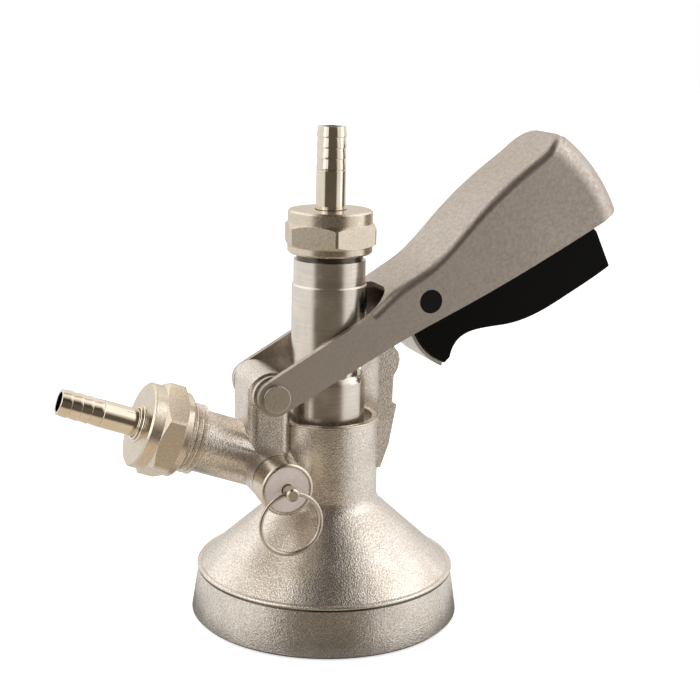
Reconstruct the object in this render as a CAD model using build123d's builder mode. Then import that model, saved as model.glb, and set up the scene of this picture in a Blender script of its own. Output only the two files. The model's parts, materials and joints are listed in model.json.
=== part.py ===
from build123d import *
from math import atan2, cos, degrees, hypot, radians, sin, sqrt, tan
import os

os.makedirs("parts", exist_ok=True)

# A keg coupler in millimetres. The origin is the centre of the bell's bottom rim, on the probe's
# axis. +Z is up, +X is the way the handle points, and the gas inlet leaves towards -X.

# Clearances
running_gap = 0.05
sliding_gap = 0.3
seat_gap = 0.1

# Bell, cone and neck of the cast body
keg_neck_radius = 38.5
rim_radius = 43.5
band_top_radius = 41.3
band_height = 16.0
band_step = 0.6
cone_top = 38.0
cone_wall = 4.0
neck_radius = 16.5
neck_top = 65.5
neck_blend = 6.0
rim_bevel = 0.8
ring_bevel = 0.8
entry_height = 5.0
entry_step = 0.5
lug_height = 4.0
lug_reach = 4.5
lug_gap_width = 36.0
lug_count = 3

# Probe and the bore that guides it
probe_radius = 12.0
guide_length = 9.5
mouth_radius = 14.5
mouth_depth = 4.0
gallery_radius = 13.6
o_ring_section = 1.9
probe_tip_height = 29.0
probe_spigot_radius = 7.5
probe_spigot_length = 3.5
tip_seal_radius = 11.0
beer_bore_radius = 3.6
ball_chamber_radius = 6.2
ball_chamber_length = 19.0
ball_radius = 4.5
ball_lift = 4.0
ball_seat_length = 4.0
ball_stop_radius = 1.0
drive_groove_depth = 2.5
shoulder_bevel_radius = 1.0
shoulder_bevel_height = 2.6
shoulder_hole_radius = 0.8
shoulder_hole_depth = 2.0
shoulder_hole_angle = -51.0
stem_step = 0.5
stem_step_drop = 10.1
stem_relief_depth = 0.9
stem_relief_length = 2.0
thread_radius = 11.2
thread_pitch = 1.8
thread_depth = 1.1

# Body seal
seal_outer_radius = 20.3
seal_inner_radius = 13.5
seal_height = 7.5
seal_lip = 2.2

# Union nuts, washers and hose tails
nut_across_flats = 27.0
nut_wall_collar = 4.0
nut_hex_height = 7.2
nut_open_collar = 2.4
nut_collar_radius = 13.4
nut_wall = 2.3
nut_bevel = 0.6
nut_base_height = 118.3
thread_overlap = 7.1
washer_height = 1.5
washer_radius = 9.6
tail_flange_radius = 9.6
tail_flange_height = 2.6
tail_radius = 4.7
tail_bore_radius = 3.1
tail_length = 25.8
barb_pitch = 3.3
barb_count = 4
barb_depth = 0.3
beer_hex_turn = 18.0
gas_hex_turn = 24.4

# Gas inlet
gas_tilt = 20.0
gas_axis_height = 44.8
gas_boss_radius = 9.8
gas_thread_start = 46.0
gas_nut_start = 52.0
gas_bore_radius = 4.0
gas_pocket_radius = 7.4
gas_pocket_depth = 9.0
gas_tail_radius = 4.3

# Handle pivot
pivot_x = -22.0
pivot_rise = 10.4
ear_radius = 7.0
ear_half_width = 9.4
ear_round = 3.2
ear_collar_radius = 6.4
ear_groove_width = 0.9
ear_groove_depth = 1.6
ear_facing_half_width = 11.9
pivot_pin_radius = 3.2
pivot_head_radius = 4.4
pivot_head_height = 1.3
pivot_washer_radius = 5.5

# Handle
handle_angle = 28.8
handle_half_width = 14.8
handle_sheet = 2.2
arm_half_height = 6.3
arm_end_radius = 5.7
arm_taper = 0.3
arm_overlap = 2.0
handle_reach = 125.5
handle_end_lean = 12.9
handle_tip_depth = 8.7
handle_tip_rise = 23.6
ridge_start = 37.0
ridge_notch_rise = 9.0
ridge_waist_rise = 9.9
ridge_waist_past = 4.0
ridge_slope_share = 0.291
ridge_slope_drop = 8.4
ridge_crown_share = 0.606
ridge_crown_drop = 3.5
ridge_tip_share = 0.921
belly_front_share = 0.333
belly_front_drop = 1.2
belly_share = 0.695
notch_lead = 0.5
notch_corner = 9.0
handle_corner = 9.0
ridge_round = 2.8
drive_pin_radius = 1.5
drive_pin_rise = 5.7
drive_pin_gap = 0.3
drive_pin_reach = 2.2
trigger_pin_setback = 9.5
trigger_pin_radius = 3.75

# Latch post on the neck
post_half_width = 8.0
post_thickness = 5.8
post_root_depth = 17.0
post_foot_depth = 9.0
post_foot_lean = 2.5
post_ledge = 0.9
post_recess = 2.6
post_recess_rise = 4.6
post_recess_height = 8.7
post_slope_height = 2.4
post_tooth_step = 1.0
post_tooth_rise = 2.8
post_crown_rise = 2.5
post_crown_height = 2.0
post_crown_lean = 1.6

# Trigger grip and latch
grip_half_width = 11.3
grip_hub_radius = 5.8
latch_gap = 0.3
latch_sheet = 1.2
latch_half_width = 5.0
latch_nose_reach = 4.2
latch_bend_drop = 0.5
latch_plate_rise = 2.0
latch_bend_radius = 20.6
latch_bend_sweep = 38.0
latch_rivet_radius = 1.3
grip_reach = 120.3
grip_depth = 25.1
grip_top_back = 2.5
grip_top_drop = 4.0
grip_shoulder_drop = 11.7
grip_heel_lean = 0.8
grip_heel_rise = 0.6
grip_belly_share = 0.718
grip_waist_share = 0.358
grip_waist_rise = 2.6
grip_front_share = 0.077
grip_front_rise = 7.5
grip_lip = (2.5, 0.6)
spring_half_width = 3.6
nose_top = -4.5
nose_bottom = -9.5
spring_wire = 0.5

# Relief valve and its pull ring
relief_axis_height = 50.4
relief_boss_radius = 8.0
relief_boss_end = 16.5
relief_cap_radius = 8.3
relief_cap_face = 27.0
relief_groove = 1.2
relief_spigot_radius = 5.6
relief_spigot_length = 4.0
relief_bore_radius = 5.7
relief_seat_depth = 12.0
relief_port_radius = 2.2
relief_recess_radius = 7.2
relief_recess_depth = 1.0
relief_disc_height = 0.6
relief_cap_wall = 5.0
relief_plate = 1.5
relief_eye_radius = 2.0
relief_spring_radius = 3.3
spring_turns = 5
relief_stem_radius = 1.6
relief_stem_reach = 5.4
ring_wire_radius = 0.6
ring_radius = 8.7
ring_gap = 0.4

# Places that follow from the sizes above
pivot_z = neck_top + pivot_rise
guide_bottom = neck_top - mouth_depth - guide_length
probe_top = nut_base_height + thread_overlap
nut_height = nut_open_collar + nut_hex_height + nut_wall_collar
stem_step_height = nut_base_height - stem_step_drop
drive_pin_z = pivot_z + drive_pin_rise
pin_arm = hypot(pivot_x, drive_pin_rise)
pin_angle = degrees(atan2(drive_pin_rise, -pivot_x))
end_angle = handle_angle + handle_end_lean
arm_inner = handle_half_width - handle_sheet
latch_radius = neck_radius - pivot_x + post_thickness
latch_front = latch_radius + latch_nose_reach
notch_end = latch_front + notch_lead
trigger_pin_distance = latch_front + trigger_pin_setback
post_recess_bottom = neck_top + post_recess_rise
post_recess_top = post_recess_bottom + post_recess_height
post_tooth_base = post_recess_top + post_slope_height
post_tooth_height = post_tooth_base + post_tooth_rise
post_crown = post_tooth_height + post_crown_rise
post_top = post_crown + post_crown_height
o_ring_heights = [guide_bottom + guide_length * share for share in (0.28, 0.72)]
poppet_base = relief_boss_end - relief_seat_depth + sliding_gap + relief_plate
relief_spring_top = relief_cap_face - relief_cap_wall
disc_seat = relief_cap_face - relief_recess_depth
ball_height = (
    probe_tip_height - probe_spigot_length + ball_seat_length
    + sqrt((ball_radius + 2 * seat_gap) ** 2 - beer_bore_radius**2)
)
ball_stop_height = ball_height + ball_lift + ball_radius + sliding_gap + ball_stop_radius
latch_bend_centre = (latch_front + latch_bend_radius, nose_bottom - latch_bend_drop)

probe_frame = Plane.XY
gas_frame = Plane(
    origin=(0, 0, gas_axis_height),
    x_dir=(0, 1, 0),
    z_dir=(-cos(radians(gas_tilt)), 0, sin(radians(gas_tilt))),
)
relief_frame = Plane(origin=(pivot_x, 0, relief_axis_height), x_dir=(1, 0, 0), z_dir=(0, -1, 0))
handle_side = Plane(
    origin=(pivot_x, 0, pivot_z),
    x_dir=(cos(radians(handle_angle)), 0, sin(radians(handle_angle))),
    z_dir=(0, -1, 0),
)
handle_square = Plane(
    origin=handle_side.origin,
    x_dir=handle_side.x_dir,
    z_dir=handle_side.y_dir,
)
handle_plan = Plane(
    origin=handle_side.origin,
    x_dir=(cos(radians(end_angle)), 0, sin(radians(end_angle))),
    z_dir=(-sin(radians(end_angle)), 0, cos(radians(end_angle))),
)
drive_pin_place = (
    pin_arm * cos(radians(pin_angle - handle_angle)),
    pin_arm * sin(radians(pin_angle - handle_angle)),
)


def half_section(frame):
    """The plane whose x is the radius from a frame's axis and whose y runs along that axis."""
    return Plane(origin=frame.origin, x_dir=frame.x_dir, z_dir=-frame.y_dir)


def frame_axis(frame):
    return Axis(frame.origin, frame.z_dir)


def turned(frame, points):
    """A solid turned about a frame's axis from the points of its half section."""
    with BuildPart() as piece:
        with BuildSketch(half_section(frame)):
            with BuildLine():
                Polyline(*points, close=True)
            make_face()
        revolve(axis=frame_axis(frame))
    return piece.part


def ring_of_wire(frame, ring, wire, height):
    """A round ring of round section, square to a frame's axis."""
    with BuildPart() as piece:
        with BuildSketch(half_section(frame)):
            with Locations((ring, height)):
                Circle(wire)
        revolve(axis=frame_axis(frame))
    return piece.part


def keep(part, name):
    part.label = name
    export_step(part, f"parts/{name}.step")


# The cast body: bell, cone, neck, pivot ear, latch post, gas boss and relief valve boss

def bell_and_neck_outline():
    """Outside of the bell and neck, from the rim up to the machined ring at the neck's mouth."""
    return [
        (0, 0),
        (rim_radius - rim_bevel, 0),
        (rim_radius, rim_bevel),
        (band_top_radius, band_height - band_step),
        (band_top_radius - band_step, band_height),
        (neck_radius, cone_top),
        (neck_radius, neck_top - ring_bevel),
        (neck_radius - ring_bevel, neck_top),
        (0, neck_top),
    ]


def bell_cavity_outline():
    """Inside of the bell: a plain entry wall, the cone and the pocket for the body seal."""
    cone_run = band_top_radius - band_step - neck_radius
    cone_rise = cone_top - band_height
    slant = hypot(cone_run, cone_rise)
    drop = cone_wall * slant / cone_run
    wall = keg_neck_radius - entry_step
    wall_top = cone_top - drop - (wall - neck_radius) * cone_rise / cone_run
    roof = cone_top - drop - (seal_outer_radius - neck_radius) * cone_rise / cone_run
    return roof, [
        (0, -1),
        (keg_neck_radius, -1),
        (keg_neck_radius, entry_height),
        (wall, entry_height),
        (wall, wall_top),
        (seal_outer_radius, roof),
        (0, roof),
    ]


cavity_roof, cavity_points = bell_cavity_outline()
seal_top = cavity_roof + 2.0
seal_bottom = seal_top - seal_height


def gas_thread_outline():
    """Half section of the gas thread: open ridges, then the plain length that the nut covers."""
    root = thread_radius - thread_depth
    end = gas_nut_start + thread_overlap
    points = [(0, gas_thread_start)]
    for ridge in range(int((gas_nut_start - gas_thread_start) / thread_pitch)):
        foot = gas_thread_start + ridge * thread_pitch
        points += [
            (root, foot),
            (thread_radius, foot + 0.4 * thread_pitch),
            (thread_radius, foot + 0.6 * thread_pitch),
        ]
    foot += thread_pitch
    points += [(root, foot), (thread_radius, foot + 0.4 * thread_pitch)]
    return points + [(thread_radius, end), (0, end)]


def post_outline():
    """Side view of the latch post: a root on the neck, a shallow recess and the tooth above it."""
    reach = latch_radius
    recess = latch_radius - post_recess

    def on_arc(radius, height):
        return (pivot_x + sqrt(radius**2 - (height - pivot_z) ** 2), height)

    root = neck_top - post_root_depth
    crown = on_arc(reach, post_crown)
    return [
        (0, root),
        (neck_radius - ring_bevel, root),
        (on_arc(reach, neck_top)[0] - post_foot_lean, neck_top - post_foot_depth),
        on_arc(reach - post_ledge, neck_top),
        on_arc(reach - post_ledge, post_recess_bottom - post_ledge),
        on_arc(recess, post_recess_bottom),
        on_arc(recess, post_recess_top),
        on_arc(reach - post_tooth_step, post_tooth_base),
        on_arc(reach, post_tooth_height),
        crown,
        (crown[0] - post_crown_lean, post_top),
        (0, post_top),
    ]


def pivot_ear():
    """The ear's side view crossed with a plan view that rounds its upright edges, then the collar
    that stands off each side behind a groove."""
    left = pivot_x - ear_radius
    right = pivot_x + ear_radius
    with BuildPart() as ear:
        with BuildSketch(Plane.XZ):
            with BuildLine():
                Polyline(
                    (left, pivot_z),
                    (left, gas_axis_height - left * tan(radians(gas_tilt))),
                    (right, gas_axis_height - right * tan(radians(gas_tilt))),
                    (right, pivot_z),
                    close=True,
                )
            make_face()
            with Locations((pivot_x, pivot_z)):
                Circle(ear_radius)
        extrude(amount=ear_half_width, both=True)
        with BuildSketch(Plane.XY.offset(gas_axis_height)):
            with Locations((pivot_x, 0)):
                RectangleRounded(2 * ear_radius, 2 * ear_half_width, ear_round)
        extrude(amount=pivot_z + ear_radius - gas_axis_height, mode=Mode.INTERSECT)
        with BuildSketch(Plane.XZ):
            with Locations((pivot_x, pivot_z)):
                Circle(ear_collar_radius - ear_groove_depth)
        extrude(amount=ear_facing_half_width, both=True)
        collar_base = ear_half_width + ear_groove_width
        for side in (-1, 1):
            with BuildSketch(Plane.XZ.offset(side * collar_base)):
                with Locations((pivot_x, pivot_z)):
                    Circle(ear_collar_radius)
            extrude(amount=side * (ear_facing_half_width - collar_base))
    return ear.part


def body_casting():
    ear = pivot_ear()
    lugs = bayonet_lugs()
    with BuildPart() as body:
        with BuildSketch(half_section(probe_frame)):
            with BuildLine():
                Polyline(*bell_and_neck_outline(), close=True)
            make_face()
            foot = vertices().sort_by_distance(Vertex(neck_radius, cone_top, 0))[0]
            fillet(foot, neck_blend)
        revolve(axis=Axis.Z)

        # Latch post, hollowed to the neck's own radius so that it stands on the outside of the neck
        with BuildSketch(Plane.XZ):
            with BuildLine():
                Polyline(*post_outline(), close=True)
            make_face()
        extrude(amount=post_half_width, both=True)
        with BuildSketch(Plane.XY.offset(neck_top)):
            Circle(neck_radius)
        extrude(amount=post_top - neck_top + 1, mode=Mode.SUBTRACT)

        add(ear)

        # Gas boss and its thread
        with BuildSketch(gas_frame):
            Circle(gas_boss_radius)
        extrude(amount=gas_thread_start)
        with BuildSketch(half_section(gas_frame)):
            with BuildLine():
                Polyline(*gas_thread_outline(), close=True)
            make_face()
        revolve(axis=frame_axis(gas_frame))

        # Relief valve boss
        with BuildSketch(relief_frame):
            Circle(relief_boss_radius)
        extrude(amount=relief_boss_end)

        # Bell cavity and the bores round the probe
        with BuildSketch(half_section(probe_frame)):
            with BuildLine():
                Polyline(*cavity_points, close=True)
            make_face()
        revolve(axis=Axis.Z, mode=Mode.SUBTRACT)
        with BuildSketch(Plane.XY.offset(cavity_roof - 1)):
            Circle(seal_outer_radius)
        extrude(amount=seal_top - cavity_roof + 1, mode=Mode.SUBTRACT)
        with BuildSketch(Plane.XY.offset(cavity_roof)):
            Circle(gallery_radius)
        extrude(amount=guide_bottom - cavity_roof, mode=Mode.SUBTRACT)
        with BuildSketch(Plane.XY.offset(guide_bottom)):
            Circle(probe_radius + running_gap)
        extrude(amount=neck_top - guide_bottom, mode=Mode.SUBTRACT)
        with BuildSketch(Plane.XY.offset(neck_top - mouth_depth)):
            Circle(mouth_radius)
        extrude(amount=mouth_depth, mode=Mode.SUBTRACT)
        for height in o_ring_heights:
            with BuildSketch(Plane.XY.offset(height - o_ring_section * 0.6)):
                Circle(probe_radius + sliding_gap + o_ring_section + running_gap)
            extrude(amount=o_ring_section * 1.2, mode=Mode.SUBTRACT)

        # Gas way: a pocket for the check valve, then a drilling into the gallery round the probe
        gas_face = gas_nut_start + thread_overlap
        with BuildSketch(gas_frame.offset(gallery_radius)):
            Circle(gas_bore_radius)
        extrude(amount=gas_face - gallery_radius, mode=Mode.SUBTRACT)
        with BuildSketch(gas_frame.offset(gas_face - gas_pocket_depth)):
            Circle(gas_pocket_radius)
        extrude(amount=gas_pocket_depth, mode=Mode.SUBTRACT)

        # Relief valve chamber and its port to the gas way
        with BuildSketch(relief_frame.offset(relief_boss_end)):
            Circle(relief_bore_radius)
        extrude(amount=-relief_seat_depth, mode=Mode.SUBTRACT)
        with BuildSketch(relief_frame):
            Circle(relief_port_radius)
        extrude(amount=relief_boss_end, mode=Mode.SUBTRACT)

        # Pivot bore
        with BuildSketch(Plane.XZ):
            with Locations((pivot_x, pivot_z)):
                Circle(pivot_pin_radius + running_gap)
        extrude(amount=ear_facing_half_width + 1, both=True, mode=Mode.SUBTRACT)

        add(lugs)
    return body.part


def bayonet_lugs():
    """Lugs that turn in under the keg valve's neck: a ring broken by equal gaps."""
    with BuildPart() as lugs:
        with BuildSketch(Plane.XY.offset(entry_height + sliding_gap)):
            Circle(keg_neck_radius + cone_wall / 4)
            Circle(keg_neck_radius - lug_reach, mode=Mode.SUBTRACT)
            with PolarLocations(keg_neck_radius, lug_count, start_angle=180 / lug_count):
                Rectangle(4 * lug_reach, lug_gap_width, mode=Mode.SUBTRACT)
        extrude(amount=lug_height)
    return lugs.part


def body_seal():
    outer = seal_outer_radius - seat_gap
    return turned(probe_frame, [
        (seal_inner_radius, seal_bottom + seal_lip),
        (seal_inner_radius + seal_lip, seal_bottom),
        (outer - seal_lip, seal_bottom),
        (outer, seal_bottom + seal_lip),
        (outer, seal_top - seat_gap),
        (seal_inner_radius, seal_top - seat_gap),
    ])


def neck_o_ring(height):
    section = o_ring_section / 2
    return ring_of_wire(probe_frame, probe_radius + sliding_gap + section, section, height)


# Union nuts, washers and hose tails, the same on the beer and the gas side

def union_nut(frame, base, hex_turn):
    corner_radius = nut_across_flats / 2 / cos(radians(30))
    hex_base = base + nut_open_collar
    hex_top = hex_base + nut_hex_height
    bevel = (corner_radius - nut_collar_radius) * tan(radians(30))
    nut_top = base + nut_height
    with BuildPart() as nut:
        with BuildSketch(frame.offset(hex_base)):
            RegularPolygon(corner_radius, 6, rotation=hex_turn)
        extrude(amount=nut_hex_height)
        with BuildSketch(half_section(frame)):
            with BuildLine():
                Polyline(
                    (0, hex_base),
                    (nut_collar_radius, hex_base),
                    (corner_radius, hex_base + bevel),
                    (corner_radius, hex_top - bevel),
                    (nut_collar_radius, hex_top),
                    (0, hex_top),
                    close=True,
                )
            make_face()
        revolve(axis=frame_axis(frame), mode=Mode.INTERSECT)
        with BuildSketch(half_section(frame)):
            with BuildLine():
                Polyline(
                    (0, base),
                    (nut_collar_radius - nut_bevel, base),
                    (nut_collar_radius, base + nut_bevel),
                    (nut_collar_radius, nut_top - nut_bevel),
                    (nut_collar_radius - nut_bevel, nut_top),
                    (0, nut_top),
                    close=True,
                )
            make_face()
        revolve(axis=frame_axis(frame))
        with BuildSketch(frame.offset(base)):
            Circle(thread_radius + seat_gap)
        extrude(amount=nut_height - nut_wall, mode=Mode.SUBTRACT)
        with BuildSketch(frame.offset(base)):
            Circle(tail_radius + sliding_gap)
        extrude(amount=nut_height, mode=Mode.SUBTRACT)
    return nut.part


def tail_washer(frame, base):
    return turned(frame, [
        (tail_bore_radius, base + thread_overlap),
        (washer_radius, base + thread_overlap),
        (washer_radius, base + thread_overlap + washer_height),
        (tail_bore_radius, base + thread_overlap + washer_height),
    ])


def hose_tail(frame, base, outer_radius):
    """A flanged tail; its barbs are cones that end in a sharp step on the side away from the tip."""
    flange_base = base + thread_overlap + washer_height
    flange_top = flange_base + tail_flange_height
    nut_top = base + nut_height
    tip = nut_top + tail_length
    root = outer_radius - barb_depth
    shank = outer_radius - 2 * seat_gap
    points = [(tail_bore_radius, flange_base), (tail_bore_radius, tip), (root, tip)]
    for barb in range(barb_count):
        step = tip - (barb + 1) * barb_pitch
        points += [(outer_radius, step + barb_depth), (outer_radius, step), (root, step)]
    points += [(root, step - barb_depth), (outer_radius, step - barb_depth)]
    points += [(outer_radius, nut_top + seat_gap), (shank, nut_top + seat_gap)]
    points += [(shank, flange_top), (tail_flange_radius, flange_top)]
    points += [(tail_flange_radius, flange_base)]
    return turned(frame, points)


def gas_check_valve():
    """A rubber duckbill: a flange in the pocket's mouth and a closed snout towards the body."""
    mouth = gas_nut_start + thread_overlap - seat_gap
    flange = gas_pocket_radius - seat_gap
    wall = flange / 5
    snout = mouth - gas_pocket_depth + 2 * wall
    return turned(gas_frame, [
        (0, snout),
        (wall, snout),
        (flange - 2 * wall, mouth - 2 * wall),
        (flange, mouth - 2 * wall),
        (flange, mouth),
        (flange - 2 * wall, mouth),
        (flange - 3 * wall, mouth - 2 * wall),
        (0, snout + wall),
    ])


# Relief valve

def relief_bonnet():
    cap_base = relief_boss_end + relief_groove
    spigot_end = relief_boss_end - relief_spigot_length
    bevel = relief_cap_radius - relief_recess_radius - 0.5
    return turned(relief_frame, [
        (relief_spring_radius + 2 * spring_wire, spigot_end),
        (relief_spigot_radius, spigot_end),
        (relief_spigot_radius, cap_base),
        (relief_cap_radius, cap_base),
        (relief_cap_radius, relief_cap_face - bevel),
        (relief_cap_radius - bevel, relief_cap_face),
        (relief_recess_radius, relief_cap_face),
        (relief_recess_radius, disc_seat),
        (relief_stem_radius + sliding_gap, disc_seat),
        (relief_stem_radius + sliding_gap, relief_spring_top),
        (relief_spring_radius + 2 * spring_wire, relief_spring_top),
    ])


def relief_disc():
    """A thin bare disc in the cap's recess, where such valves carry their plate."""
    return turned(relief_frame, [
        (relief_stem_radius + sliding_gap, disc_seat),
        (relief_recess_radius - seat_gap, disc_seat),
        (relief_recess_radius - seat_gap, disc_seat + relief_disc_height),
        (relief_stem_radius + sliding_gap, disc_seat + relief_disc_height),
    ])


def relief_stem():
    """Poppet plate, stem and the eye that carries the pull ring."""
    plate = relief_spring_radius + 2 * spring_wire
    tip = relief_cap_face + relief_stem_reach
    with BuildPart() as stem:
        with BuildSketch(relief_frame.offset(poppet_base)):
            Circle(plate)
        extrude(amount=relief_plate)
        with BuildSketch(relief_frame.offset(poppet_base)):
            Circle(relief_stem_radius)
        extrude(amount=tip - poppet_base)
        with BuildSketch(relief_frame.offset(tip - 2 * relief_eye_radius)):
            Circle(relief_eye_radius)
        extrude(amount=2 * relief_eye_radius)
        eye_edges = stem.part.edges().filter_by(GeomType.CIRCLE).sort_by(Axis.Y)[:1]
        chamfer(eye_edges, relief_eye_radius / 4)
        with BuildSketch(Plane.YZ.offset(pivot_x)):
            with Locations((-(tip - relief_eye_radius), relief_axis_height)):
                Circle(ring_wire_radius + ring_gap)
        extrude(amount=relief_eye_radius, both=True, mode=Mode.SUBTRACT)
    return stem.part


def relief_seal():
    return turned(relief_frame, [
        (0, poppet_base - relief_plate),
        (relief_spring_radius, poppet_base - relief_plate),
        (relief_spring_radius, poppet_base),
        (0, poppet_base),
    ])


def relief_spring():
    base = poppet_base + relief_plate + spring_wire + seat_gap
    height = relief_spring_top - base - spring_wire - seat_gap
    with BuildPart() as spring:
        with BuildLine() as coil:
            Helix(
                pitch=height / spring_turns,
                height=height,
                radius=relief_spring_radius,
                center=relief_frame.offset(base).origin,
                direction=relief_frame.z_dir,
            )
        wire = coil.line
        with BuildSketch(Plane(origin=wire @ 0, z_dir=wire % 0)):
            Circle(spring_wire)
        sweep(path=wire)
    return spring.part


def pull_ring():
    """The ring hangs through the stem's eye, square to the valve's axis."""
    tip = relief_cap_face + relief_stem_reach
    centre = relief_frame.offset(tip - relief_eye_radius)
    hang = Plane(
        origin=centre.origin - Vector(0, 0, ring_radius),
        x_dir=(1, 0, 0),
        z_dir=(0, -1, 0),
    )
    return ring_of_wire(hang, ring_radius, ring_wire_radius, 0)


# Probe with its check ball

def probe():
    tip = probe_tip_height - probe_spigot_length
    shoulder = drive_pin_z - drive_pin_radius - drive_pin_gap
    ledge = drive_pin_z + drive_pin_radius + drive_pin_gap
    upper = probe_radius - seat_gap
    stem = upper - stem_step
    relief_base = nut_base_height - stem_relief_length
    chamber_top = tip + ball_chamber_length
    outline = [
        (ball_chamber_radius, tip),
        (probe_spigot_radius, tip),
        (probe_spigot_radius, probe_tip_height),
        (probe_radius - rim_bevel, probe_tip_height),
        (probe_radius, probe_tip_height + rim_bevel),
        (probe_radius, shoulder - shoulder_bevel_height),
        (probe_radius - shoulder_bevel_radius, shoulder),
        (probe_radius - drive_groove_depth, shoulder),
        (probe_radius - drive_groove_depth, ledge),
        (upper, ledge),
        (upper, stem_step_height),
        (stem, stem_step_height + stem_step),
        (stem, relief_base),
        (stem - stem_relief_depth, relief_base),
        (stem - stem_relief_depth, nut_base_height),
        (thread_radius, nut_base_height + stem_relief_depth),
        (thread_radius, probe_top - rim_bevel),
        (thread_radius - rim_bevel, probe_top),
        (beer_bore_radius, probe_top),
        (beer_bore_radius, chamber_top + ball_chamber_radius - beer_bore_radius),
        (ball_chamber_radius, chamber_top),
    ]
    with BuildPart() as piece:
        with BuildSketch(half_section(probe_frame)):
            with BuildLine():
                Polyline(*outline, close=True)
            make_face()
        revolve(axis=Axis.Z)
        with BuildSketch(Plane.YZ):
            with Locations((0, ball_stop_height)):
                Circle(ball_stop_radius + running_gap)
        extrude(amount=probe_radius + 1, both=True, mode=Mode.SUBTRACT)
        around = radians(shoulder_hole_angle)
        outward = Vector(cos(around), sin(around), 0)
        floor = outward * (probe_radius - shoulder_hole_depth)
        height = shoulder - shoulder_bevel_height / 2
        with BuildSketch(Plane(origin=floor + Vector(0, 0, height), z_dir=outward)):
            Circle(shoulder_hole_radius)
        extrude(amount=2 * shoulder_hole_depth, mode=Mode.SUBTRACT)
    return piece.part


def probe_tip_seal():
    tip = probe_tip_height - probe_spigot_length
    round_off = (tip_seal_radius - probe_spigot_radius) / 4
    return turned(probe_frame, [
        (probe_spigot_radius + seat_gap, tip - round_off),
        (tip_seal_radius - round_off, tip - round_off),
        (tip_seal_radius, tip),
        (tip_seal_radius, probe_tip_height - seat_gap),
        (probe_spigot_radius + seat_gap, probe_tip_height - seat_gap),
    ])


def ball_seat():
    tip = probe_tip_height - probe_spigot_length
    return turned(probe_frame, [
        (beer_bore_radius, tip),
        (ball_chamber_radius - seat_gap, tip),
        (ball_chamber_radius - seat_gap, tip + ball_seat_length),
        (beer_bore_radius, tip + ball_seat_length),
    ])


def beer_check_ball():
    with BuildPart() as ball:
        with Locations((0, 0, ball_height)):
            Sphere(ball_radius)
    return ball.part


def ball_stop_pin():
    with BuildPart() as pin:
        with BuildSketch(Plane.YZ):
            with Locations((0, ball_stop_height)):
                Circle(ball_stop_radius)
        extrude(amount=probe_radius - shoulder_bevel_radius, both=True)
    return pin.part


# Handle: one stamped channel whose sides run on as the two arms of a fork

def head_side_face(half_width, drop):
    """Side view of the handle's wide end, to past its end wall, moved down by a drop."""
    side = Plane(
        origin=handle_side.from_local_coords((0, -drop, -half_width)),
        x_dir=handle_side.x_dir,
        z_dir=handle_side.z_dir,
    )
    waist = trigger_pin_distance + ridge_waist_past
    swell = handle_reach - waist
    run = handle_reach - ridge_start
    with BuildSketch(side) as face:
        with BuildLine():
            ridge = Spline(
                (ridge_start, arm_half_height + arm_taper),
                (notch_end, ridge_notch_rise),
                (waist, ridge_waist_rise),
                (waist + ridge_slope_share * swell, handle_tip_rise - ridge_slope_drop),
                (waist + ridge_crown_share * swell, handle_tip_rise - ridge_crown_drop),
                (waist + ridge_tip_share * swell, handle_tip_rise),
                tangents=((8, 1), (4, 1)),
            )
            beyond = Line(ridge @ 1, (ridge @ 1) + Vector(12, 3))
            belly = Spline(
                (ridge_start, arm_taper - arm_half_height),
                (ridge_start + belly_front_share * run, belly_front_drop - handle_tip_depth),
                (ridge_start + belly_share * run, -handle_tip_depth),
                (handle_reach + handle_tip_depth, -handle_tip_depth),
                tangents=((1, 0), (1, 0)),
            )
            Line(beyond @ 1, belly @ 1)
            Line(ridge @ 0, belly @ 0)
        make_face()
    return face.sketch


def ridge_edge(form):
    """The long curved edge on top of the head; a round on it runs on over the end wall."""
    above = form.edges().filter_by(
        lambda edge: handle_side.to_local_coords(edge.center()).Y > arm_half_height
    )
    return above.sort_by(SortBy.LENGTH)[-1]


def head_form(half_width, reach, corner, drop):
    """The head's form from outside, or with a drop its hollow: side view crossed with plan view."""
    side_face = head_side_face(half_width, drop)
    with BuildPart() as form:
        extrude(side_face, amount=2 * half_width)
        with BuildSketch(handle_plan.offset(-2 * handle_tip_rise)):
            with BuildLine():
                Polyline(
                    (0, -half_width),
                    (reach, -half_width),
                    (reach, half_width),
                    (0, half_width),
                    close=True,
                )
            make_face()
            fillet(vertices().sort_by(Axis.X)[-2:], corner)
        extrude(amount=4 * handle_tip_rise, mode=Mode.INTERSECT)
        fillet(ridge_edge(form.part), ridge_round - drop)
    return form.part


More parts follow.
